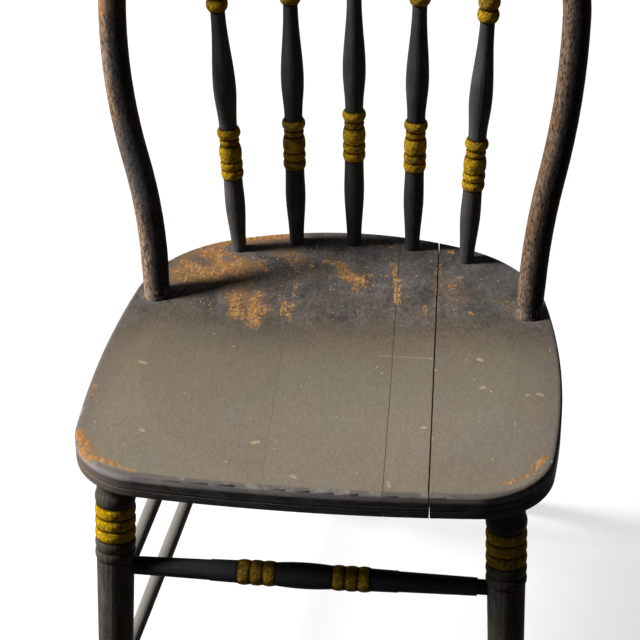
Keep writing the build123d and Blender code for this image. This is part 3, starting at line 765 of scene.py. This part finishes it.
def deck_with_wear(tree, x, y, flat, flow, paint):
    """The deck's colour and the mask of its bare wood."""
    deck = whole_paint(tree, x, y, flat)
    grain = noise(tree, stretch(tree, flat, (430.0, 210.0, 1.0)), 1.0, 2.0, 0.6, 2.0)
    grain = ease(tree, grain, 0.32, 0.68)
    fleck = mix_values(tree, ease(tree, y, 0.0, 0.07), spread(tree, grain, 0.93, 1.07),
                       spread(tree, grain, 0.82, 1.22))
    deck = tint(tree, deck, times(tree, spread(tree, paint["Tone"], 0.95, 1.05), fleck))
    deck, lines = board_tones(tree, flat, deck)
    ragged = stretch(tree, flat, (300.0, 185.0, 1.0))
    grey = strokes(tree, flat, DECK_GREY)
    deck = stained(tree, flat, ragged, deck, grey)
    bare = bare_wood(tree, x, y, flat, ragged, grey)
    deck = part_mix(tree, bare, 0.88, deck, deck_wood(tree, x, flat, flow))
    deck = deck_marks(tree, flat, deck)
    return mix(tree, lines, deck, JOINT_DIRT), bare


def worn_round(tree, facing, up, z):
    """Normal of an edge worn rounder than it was planed: it leans back towards the top."""
    sine = calc(tree, "DIVIDE", calc(tree, "ADD", z, ROUNDED_DROP), ROUNDED_DROP, clamp=True)
    cosine = calc(tree, "SQRT", minus(tree, 1.0, times(tree, sine, sine)))
    level = vector_calc(tree, "NORMALIZE", stretch(tree, facing, (1.0, 1.0, 0.0)))
    leaning = vector_calc(tree, "ADD", scaled(tree, level, cosine), joined(tree, z=sine))
    edge = times(tree, ease(tree, up, 0.996, 0.95),
                 ease(tree, z, -ROUNDED_DROP - 0.0010, -ROUNDED_DROP))
    blend = add(tree, "ShaderNodeMix", {0: edge, 4: facing, 5: leaning}, data_type="VECTOR")
    return vector_calc(tree, "NORMALIZE", blend.outputs[1])


def rubbed_edge(tree, place, z, rim):
    """Colour of the rounded edge, rubbed grey, with pale patches and chips; darker towards its
    top as painted shade.
    """
    # darker brown-grey towards the top of the round is painted shade, against the light the
    # top catches
    rubbed = mix(tree, ease(tree, z, -0.0015, -0.0050), EDGE_SHADED_BROWN_GREY, EDGE_GREY)
    rubbed = tint(tree, rubbed, spread(tree, ease(tree, rim, 0.34, 0.66), 0.92, 1.08))
    pale = ease(tree, noise(tree, place, 55.0, 3.0, 0.6, 12.0), 0.54, 0.68)
    rubbed = part_mix(tree, pale, 0.5, rubbed, EDGE_PALE)
    return mix(tree, flecked(tree, place, 95.0, 0.16, 0.12), rubbed, EDGE_CHIP)


def upright_edge(tree, place, x, z, rim_flow, rim):
    """Colour of the upright edge: dark paint, paler on the left as wear and painted light,
    with a scored line.
    """
    paint = mix(tree, ease(tree, rim, 0.35, 0.7), SIDE_DARK, SIDE_LIGHT)
    # paler towards the left end: partly wear, partly painted light on the side facing the lamp
    paint = part_mix(tree, ease(tree, x, -0.12, -0.19), 0.7, paint, SIDE_WORN_AND_LIT)
    chips = worn_places(tree, rim_flow, 0.22, 5.0)
    paint = part_mix(tree, chips, 0.4, paint, SIDE_CHIP)
    line = calc(tree, "ABSOLUTE", calc(tree, "ADD", z, BEAD_DROP))
    broken = ease(tree, noise(tree, place, 42.0, 3.0), 0.42, 0.56)
    line = times(tree, ease(tree, line, 0.0011, 0.0004), broken)
    return part_mix(tree, line, 0.6, paint, SIDE_LINE)


def raw_underside(tree, place):
    """Colour of the unpainted wood below, greyed in patches."""
    grain = noise(tree, stretch(tree, place, (210.0, 14.0, 210.0)), 1.0, 4.0, 0.6, 1.0)
    raw = mix(tree, ease(tree, grain, 0.35, 0.68), RAW_DEEP, RAW_WOOD)
    greyed = ease(tree, noise(tree, place, 14.0, 3.0, 0.6, 8.0), 0.5, 0.62)
    return mix(tree, greyed, raw, RAW_GREY)


def seat_finish():
    """Deck, rounded edge, upright edge and underside, told apart by place and slope."""
    material, tree, shader, place = new_finish("worn_seat_paint")
    x, y, z = parts(tree, place)
    facing = surface_normal(tree)
    up = parts(tree, facing)[2]
    flat = joined(tree, x, y)
    flow = stretch(tree, flat, (260.0, 42.0, 1.0))
    paint = use(tree, BRUSHED_PAINT, Flow=flow, Place=place)
    deck, bare = deck_with_wear(tree, x, y, flat, flow, paint)
    rim_flow = stretch(tree, place, (60.0, 60.0, 240.0))
    rim = noise(tree, rim_flow, 1.0, 4.0, 0.6)
    drop = calc(tree, "MULTIPLY_ADD", minus(tree, rim, 0.5), 0.0012, z)
    rounded = ease(tree, drop, -0.0104, -0.0066)
    colour = mix(tree, rounded, upright_edge(tree, place, x, z, rim_flow, rim),
                 rubbed_edge(tree, place, z, rim))
    colour = mix(tree, times(tree, bare, rounded), colour, EDGE_WOOD)
    colour = mix(tree, ease(tree, up, 0.9, 0.985), colour, deck)
    colour = mix(tree, ease(tree, up, -0.3, -0.7), colour, raw_underside(tree, place))
    finish(tree, shader, colour, paint["Height"], spread(tree, paint["Tone"], 0.62, 0.46),
           DECK_RELIEF, worn_round(tree, facing, up, z))
    return material


# ---- the bow

BOW_WIDEST = 0.2634              # height where the bow is widest
BOW_SPAN = 0.2087                # half its width there
BOW_LEAN = 0.006                 # how far its middle lies to the left
BOW_CROWN = 1.45                 # how much flatter than a circle the crown is
BOW_RUBBED_LIT_SIDE = (-0.93, -0.25, 0.27)   # the way its side that is rubbed and painted lit faces

BOW_DARK = srgb(42, 43, 45)
BOW_LIGHT = srgb(72, 70, 70)
BOW_RUBBED_LIT_DEEP = srgb(116, 98, 84)
BOW_RUBBED_LIT_PALE = srgb(190, 162, 138)
BOW_SLATE = srgb(80, 84, 88)
BOW_WARM = srgb(132, 94, 64)
BOW_WOOD = srgb(186, 126, 72)
BOW_CRACK = srgb(36, 33, 33)
BOW_CHIP = srgb(138, 126, 116)


def bow_flow(tree, place):
    """Place on the bow with the third value running along its bend."""
    thin, drawn = 260.0, 14.0
    x, y, z = parts(tree, place)
    x = calc(tree, "ADD", x, BOW_LEAN)
    above = minus(tree, z, BOW_WIDEST)
    over = times(tree, larger(tree, above, 0.0), BOW_CROWN)
    below = calc(tree, "MINIMUM", above, 0.0)
    reach = calc(tree, "SQRT", calc(tree, "ADD", times(tree, x, x), times(tree, over, over)))
    turn = calc(tree, "ARCTAN2", over, x)
    along = calc(tree, "ADD", times(tree, turn, BOW_SPAN), below)
    out = calc(tree, "MULTIPLY_ADD", z, -0.3, y)
    return joined(tree, times(tree, reach, thin), times(tree, out, thin),
                  times(tree, along, drawn))


def bow_finish():
    """Paint that follows the bend: slate where it lasted, rubbed grey and brown on the side
    facing the lamp, partly wear and partly painted light; the right limb darker as painted
    shade."""
    material, tree, shader, place = new_finish("rubbed_bow_paint")
    flow = bow_flow(tree, place)
    paint = use(tree, BRUSHED_PAINT, Flow=flow, Place=place)
    side, _, height = parts(tree, place)
    # the side facing the lamp: its rubbed grey and brown, and the warm streaks, are partly
    # wear and partly painted light
    outer = vector_calc(tree, "DOT_PRODUCT", surface_normal(tree), BOW_RUBBED_LIT_SIDE, "Value")
    low = spread(tree, ease(tree, height, 0.10, 0.03), 0.28, 0.08)
    outer = ease(tree, outer, low, 0.95)
    flake = noise(tree, stretch(tree, flow, (1.9, 1.9, 14.0)), 1.0, 4.0, 0.7, 1.0)
    colour = mix(tree, ease(tree, flake, 0.36, 0.64), BOW_DARK, BOW_LIGHT)
    rubbed = mix(tree, ease(tree, flake, 0.38, 0.62), BOW_RUBBED_LIT_DEEP, BOW_RUBBED_LIT_PALE)
    colour = part_mix(tree, outer, 0.9, colour, rubbed)
    slate = calc(tree, "ABSOLUTE", minus(tree, height, 0.125))
    slate = times(tree, ease(tree, slate, 0.055, 0.015), ease(tree, side, 0.0, -0.1))
    colour = part_mix(tree, slate, 0.6, colour, BOW_SLATE)
    slow = noise(tree, place, 11.0, 3.0, 0.6, 4.0)
    warm = times(tree, ease(tree, slow, 0.36, 0.60), ease(tree, height, 0.02, 0.10))
    warm = times(tree, warm, spread(tree, outer, 0.35, 1.0))
    warm = times(tree, warm, spread(tree, slate, 1.0, 0.3))
    colour = part_mix(tree, warm, 0.46, colour, BOW_WARM)
    brown = worn_places(tree, stretch(tree, flow, (1.0, 1.0, 3.0)),
                        times(tree, warm, 0.66), 9.0, 0.04)
    colour = part_mix(tree, brown, 0.8, colour, BOW_WOOD)
    cracks = worn_places(tree, stretch(tree, flow, (1.3, 1.3, 9.0)), 0.40, 15.0)
    colour = part_mix(tree, cracks, 0.72, colour, BOW_CRACK)
    # painted shade: the right limb is made darker
    colour = tint(tree, colour, spread(tree, ease(tree, side, -0.05, 0.05), 1.0, 0.62))
    foot = fade(tree, height, 0.004, 0.026)
    chipped = worn_places(tree, stretch(tree, place, (240.0,) * 3),
                          times(tree, foot, 0.5), 2.0)
    colour = part_mix(tree, chipped, 0.7, colour, BOW_CHIP)
    colour = part_mix(tree, flecked(tree, place, 90.0, 0.06, 0.07), 0.7, colour, CREAM)
    bump = minus(tree, flake, times(tree, brown, 0.5))
    bump = minus(tree, bump, times(tree, cracks, 0.5))
    finish(tree, shader, colour, bump, spread(tree, paint["Tone"], 0.6, 0.44), BOW_RELIEF)
    return material


# ---- dressing

# Turned pieces: the places of rings and grooves along the piece, and the radii of its
# grooves and rings
SPINDLE_RADII = (0.0088, 0.0102)
LOWER_RINGS = 0.0518
LOWER_GROOVES = (0.0, 0.0094, 0.0178, 0.0338, 0.0409, 0.0518)
MIDDLE_VASE = 0.1163
UPPER_RINGS = 0.0484
UPPER_GROOVES = (0.0, 0.0123, 0.0255, 0.0404, 0.0484)
LEG_RADII = (0.01655, 0.0173)
LEG_BAND = (0.0302, 0.06365)
LEG_GROOVES = (0.0302, 0.04135, 0.0525, 0.06365, 0.07385, 0.08405)
STRETCHER_RADII = (0.0103, 0.0111)
STRETCHER_BANDS = ((-0.0575, -0.02465), (0.02465, 0.0575))
STRETCHER_GROOVES = (-0.0575, -0.04655, -0.0356, -0.02465, 0.02465, 0.0356, 0.04655, 0.0575)
STRETCHER_MIDDLE = Vector((-0.00394, -0.17802, -0.11622))
STRETCHER_RUN = Vector((1.0, 0.0009, 0.0059))

# Foot and head of each spindle, where its lower rings start, its darker and lighter
# paint, and the age of its yellow
SPINDLES = {
    # tone differs a little from one spindle to the next; the outer left one is paler as
    # painted light, for the light it catches in full
    "spindle_outer_left": ((-0.1095, 0.1627, 0.0), (-0.1308, 0.1870, 0.3780), 0.0776,
                           srgb(72, 72, 73), srgb(100, 100, 100), 0.4),
    "spindle_inner_left": ((-0.0557, 0.1813, 0.0), (-0.0587, 0.1938, 0.4005), 0.0820,
                           srgb(60, 63, 70), srgb(78, 81, 88), 0.7),
    "spindle_centre": ((0.0, 0.1847, 0.0), (0.0015, 0.1951, 0.4051), 0.0924,
                       srgb(60, 63, 63), srgb(84, 86, 85), 0.5),
    "spindle_inner_right": ((0.0567, 0.1813, 0.0), (0.0635, 0.1927, 0.3970), 0.0860,
                            srgb(56, 56, 57), srgb(78, 77, 76), 0.5),
    "spindle_outer_right": ((0.1104, 0.1627, 0.0), (0.1300, 0.1854, 0.3726), 0.0776,
                            srgb(66, 66, 67), srgb(90, 90, 89), 0.5),
}

PLANK = 0.0255                   # thickness of the seat
# Legs at the plank's underside: (across, along), and how far they splay for each
# metre further down
FRONT_LEG = ((0.166, -0.1645), (0.035, -0.149))
REAR_LEG = ((0.143, 0.1405), (0.034, 0.3705))
# Left and right front legs: darker and lighter paint, age of the yellow
# the left leg's paler paint and fresh yellow are painted light, the right leg's darker paint
# is painted shade
FRONT_LEG_PAINT = {"left": (srgb(62, 58, 53), srgb(104, 97, 86), 0.0),
                   "right": (srgb(56, 54, 49), srgb(84, 80, 72), 0.6)}
# the stretcher's paint is darker than the other charcoal: painted shade under the seat
STRETCHER_PAINT = (srgb(50, 51, 54), srgb(64, 65, 67))
# How far below the deck the plain stretchers meet the legs, in front and behind
SIDE_STRETCHERS = (("upper", 0.150, 0.146), ("lower", 0.240, 0.250))
REAR_STRETCHER = 0.196


def dress(node, material):
    """Give a CAD node its material, in every slot it has."""
    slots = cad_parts[node].data.materials
    if not slots:
        slots.append(material)
    for index in range(len(slots)):
        slots[index] = material


def leg_at(leg, side, drop):
    """Middle of a leg, so far below the deck; side is -1 on the left, 1 on the right."""
    (across, along), (splay_across, splay_along) = leg
    fall = drop - PLANK
    return Vector((side * (across + splay_across * fall), along + splay_along * fall, -drop))


def dress_seat_and_bow():
    seat = seat_finish()
    for board in ("left", "centre", "narrow", "right"):
        dress("seat_board_" + board, seat)
    dress("back_bow", bow_finish())


def dress_spindles():
    for name, (foot, head, lower, dark, light, age) in SPINDLES.items():
        upper = lower + LOWER_RINGS + MIDDLE_VASE
        bands = ((lower, lower + LOWER_RINGS), (upper, upper + UPPER_RINGS))
        grooves = ([lower + run for run in LOWER_GROOVES]
                   + [upper + run for run in UPPER_GROOVES])
        dress(name, turned_finish(name + "_paint", foot, head, bands, grooves, SPINDLE_RADII,
                                  dark, light, worn=0.2, brown=0.14, age=age))


def dress_legs():
    for side, name in ((-1, "left"), (1, "right")):
        dark, light, age = FRONT_LEG_PAINT[name]
        dress("front_leg_" + name,
              turned_finish("front_leg_paint_" + name, leg_at(FRONT_LEG, side, PLANK),
                            leg_at(FRONT_LEG, side, DECK_HEIGHT), (LEG_BAND,), LEG_GROOVES,
                            LEG_RADII, dark, light, worn=0.35, brown=0.25, age=age))
        dress("rear_leg_" + name,
              plain_finish("rear_leg_paint_" + name, leg_at(REAR_LEG, side, PLANK),
                           leg_at(REAR_LEG, side, DECK_HEIGHT), 0.3, LILAC_GREY))


def dress_stretchers():
    dress("front_stretcher",
          turned_finish("front_stretcher_paint", STRETCHER_MIDDLE,
                        STRETCHER_MIDDLE + STRETCHER_RUN, STRETCHER_BANDS,
                        STRETCHER_GROOVES, STRETCHER_RADII, *STRETCHER_PAINT,
                        worn=0.10, brown=0.1, age=0.6))
    for side, name in ((-1, "left"), (1, "right")):
        for level, ahead, behind in SIDE_STRETCHERS:
            dress(f"side_stretcher_{level}_{name}",
                  plain_finish(f"side_stretcher_paint_{level}_{name}",
                               leg_at(FRONT_LEG, side, ahead),
                               leg_at(REAR_LEG, side, behind), 1.0, ROD_WORN_AND_LIT_GREY))
    dress("rear_stretcher",
          plain_finish("rear_stretcher_paint", leg_at(REAR_LEG, -1, REAR_STRETCHER),
                       leg_at(REAR_LEG, 1, REAR_STRETCHER), 0.6, ROD_WORN_AND_LIT_GREY))


dress_seat_and_bow()
dress_spindles()
dress_legs()
dress_stretchers()


# ---- studio

# Lamps: name, place, what it aims at, size, watts, colour; places from the floor
LAMPS = (
    ("window_softbox", (-4.60, -0.57, 4.19), (0.0, 0.0, 0.37), 1.5, 590.0, (1.0, 0.99, 0.975)),
    ("low_window", (-4.40, 0.50, 0.95), (0.0, 0.0, 0.30), 1.2, 46.0, (1.0, 0.98, 0.95)),
    ("rear_fill", (1.2, 2.8, 0.9), (0.0, 0.0, 0.4), 1.6, 4.0, (0.92, 0.95, 1.0)),
)


def seen_directly(tree):
    """1 for the camera, and in gloss and glass; 0 where light only bounces."""
    path = add(tree, "ShaderNodeLightPath").outputs
    return larger(tree, path["Is Camera Ray"],
                  larger(tree, path["Is Glossy Ray"], path["Is Transmission Ray"]))


def paper_finish():
    """White paper that keeps shadows, is dim to bounced light, and clear from below."""
    material = bpy.data.materials.new("studio_paper")
    tree = blank_tree(material)
    place = add(tree, "ShaderNodeTexCoord").outputs["Object"]
    fibre = spread(tree, noise(tree, place, 3.0, 2.0), 0.985, 1.0)
    glow = add(tree, "ShaderNodeEmission",
               {"Color": tint(tree, (1.0, 1.0, 1.0, 1.0), fibre), "Strength": 0.71})
    lit = add(tree, "ShaderNodeBsdfDiffuse", {"Color": (0.36, 0.36, 0.37, 1.0)})
    shown = add(tree, "ShaderNodeAddShader", {0: glow.outputs[0], 1: lit.outputs[0]})
    bounce = add(tree, "ShaderNodeBsdfDiffuse", {"Color": (0.06, 0.06, 0.065, 1.0)})
    both = add(tree, "ShaderNodeMixShader",
               {0: seen_directly(tree), 1: bounce.outputs[0], 2: shown.outputs[0]})
    below = add(tree, "ShaderNodeNewGeometry").outputs["Backfacing"]
    clear = add(tree, "ShaderNodeBsdfTransparent")
    paper = add(tree, "ShaderNodeMixShader",
                {0: below, 1: both.outputs[0], 2: clear.outputs[0]})
    add(tree, "ShaderNodeOutputMaterial", {"Surface": paper.outputs[0]})
    return material


def in_scene(name, data):
    placed = bpy.data.objects.new(name, data)
    bpy.context.scene.collection.objects.link(placed)
    return placed


def studio_floor():
    reach, rows = 7.0, 8
    steps = [reach * (2 * step / rows - 1) for step in range(rows + 1)]
    verts = [(x, y, 0.0) for y in steps for x in steps]
    faces = []
    for row in range(rows):
        for column in range(rows):
            first = row * (rows + 1) + column
            faces.append((first, first + 1, first + rows + 2, first + rows + 1))
    mesh = bpy.data.meshes.new("studio_floor")
    mesh.from_pydata(verts, [], faces)
    mesh.materials.append(paper_finish())
    in_scene("studio_floor", mesh)


def studio_world():
    world = bpy.data.worlds.new("studio_air")
    tree = blank_tree(world)
    air = add(tree, "ShaderNodeBackground", {"Color": (0.86, 0.9, 1.0, 1.0), "Strength": 0.02})
    white = add(tree, "ShaderNodeBackground",
                {"Color": (0.95, 0.95, 0.96, 1.0), "Strength": 1.0})
    both = add(tree, "ShaderNodeMixShader",
               {0: seen_directly(tree), 1: air.outputs[0], 2: white.outputs[0]})
    add(tree, "ShaderNodeOutputWorld", {"Surface": both.outputs[0]})
    bpy.context.scene.world = world


def studio_lamp(name, place, aim, size, power, colour):
    data = bpy.data.lights.new(name, "AREA")
    data.shape = "DISK"
    data.size = size
    data.energy = power
    data.color = colour
    holder = in_scene(name, data)
    holder.location = place
    way = Vector(aim) - Vector(place)
    holder.rotation_euler = way.to_track_quat("-Z", "Y").to_euler()


def studio_camera():
    """Stands to the chair's right, above it, and looks down at the seat."""
    turn, down, roll = math.radians(7.640), math.radians(33.203), math.radians(1.055)
    data = bpy.data.cameras.new("studio_camera")
    data.sensor_width = 36.0
    data.sensor_fit = "HORIZONTAL"
    data.lens = 118.125
    data.clip_start = 0.05
    data.clip_end = 60.0
    camera = in_scene("studio_camera", data)
    camera.matrix_world = (Matrix.Translation(MIDDLE + Vector((0.1983, -1.55412, 1.05641)))
                           @ Matrix.Rotation(turn, 4, "Z")
                           @ Matrix.Rotation(math.pi / 2 - down, 4, "X")
                           @ Matrix.Rotation(-roll, 4, "Z"))
    bpy.context.scene.camera = camera


studio_floor()
studio_world()
for lamp in LAMPS:
    studio_lamp(*lamp)
studio_camera()
bpy.context.scene.view_settings.view_transform = "Standard"
